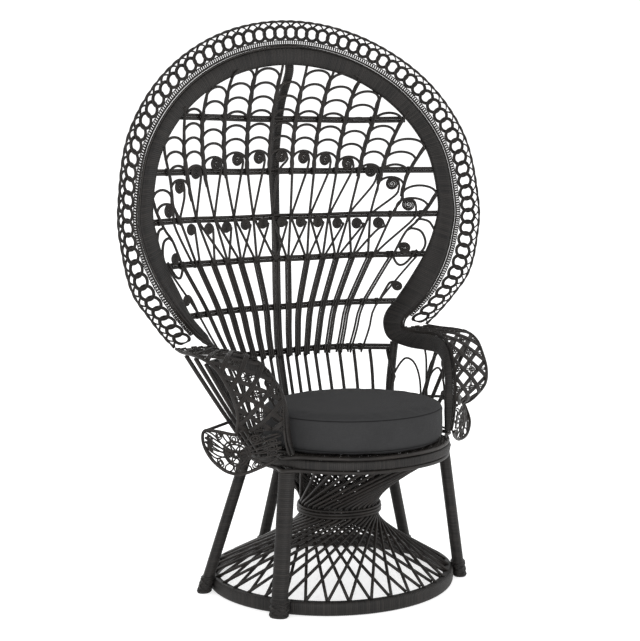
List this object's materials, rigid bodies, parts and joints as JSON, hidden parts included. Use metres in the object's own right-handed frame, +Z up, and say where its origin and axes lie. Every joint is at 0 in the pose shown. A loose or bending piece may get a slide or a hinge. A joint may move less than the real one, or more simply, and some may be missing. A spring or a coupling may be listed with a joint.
{
  "type": "peacock chair",
  "caption": "Woven cane armchair with a tall fan back edged in ring lace, lace arms, a loose round cushion and an hourglass base in a floor ring.",
  "frame": {"origin": "on the floor, under the middle of the outer box", "axes": "+Z up, the chair faces -Y, +X to the right seen from behind it"},
  "size_m": [1.1658, 0.724, 1.4998],
  "materials": {
    "stained_cane": "near-black stain, satin, round canes and flat lace",
    "wrapped_core": "near-black stain, satin, close cross wrapping of flat core",
    "cushion_cloth": "plain charcoal woven cloth, matte"
  },
  "bodies": {
    "chair": {"arm_band_left": "wrapped_core", "arm_band_right": "wrapped_core", "arm_rim_left": "stained_cane", "arm_rim_right": "stained_cane", "arm_trim_left": "stained_cane", "arm_trim_right": "stained_cane", "back_lattice": "stained_cane", "base_ring": "wrapped_core", "brace_1_left": "stained_cane", "brace_1_right": "stained_cane", "brace_2_left": "stained_cane", "brace_2_right": "stained_cane", "brace_3_left": "stained_cane", "brace_3_right": "stained_cane", "cane_bundles": "stained_cane", "canes_inner": "stained_cane", "canes_outer": "stained_cane", "fan_band": "wrapped_core", "fan_trim": "stained_cane", "leg_front_left": "wrapped_core", "leg_front_right": "wrapped_core", "leg_rear": "wrapped_core", "leg_side_left": "wrapped_core", "leg_side_right": "wrapped_core", "lobe_stay_left": "stained_cane", "lobe_stay_right": "stained_cane", "lower_back_canes": "stained_cane", "lower_lace_left": "stained_cane", "lower_lace_right": "stained_cane", "outer_rim": "stained_cane", "rail_1": "stained_cane", "rail_2": "stained_cane", "rail_3": "stained_cane", "rail_4": "stained_cane", "rail_5": "stained_cane", "rail_6": "stained_cane", "rear_pole": "wrapped_core", "rear_post_left": "wrapped_core", "rear_post_right": "wrapped_core", "ring_lace": "stained_cane", "seat_panel": "stained_cane", "seat_rim": "wrapped_core", "seat_strand_lower": "stained_cane", "seat_strand_upper": "stained_cane", "side_panel_left": "stained_cane", "side_panel_right": "stained_cane", "upper_lace_left": "stained_cane", "upper_lace_right": "stained_cane", "waist_binding": "wrapped_core"},
    "cushion_body": {"cushion": "cushion_cloth"}
  },
  "joints": [
    {"name": "cushion_lift", "type": "slide", "parent": "chair", "child": "cushion_body", "axis": [0, 0, 1], "range_m": [0, 0.25]}
  ]
}
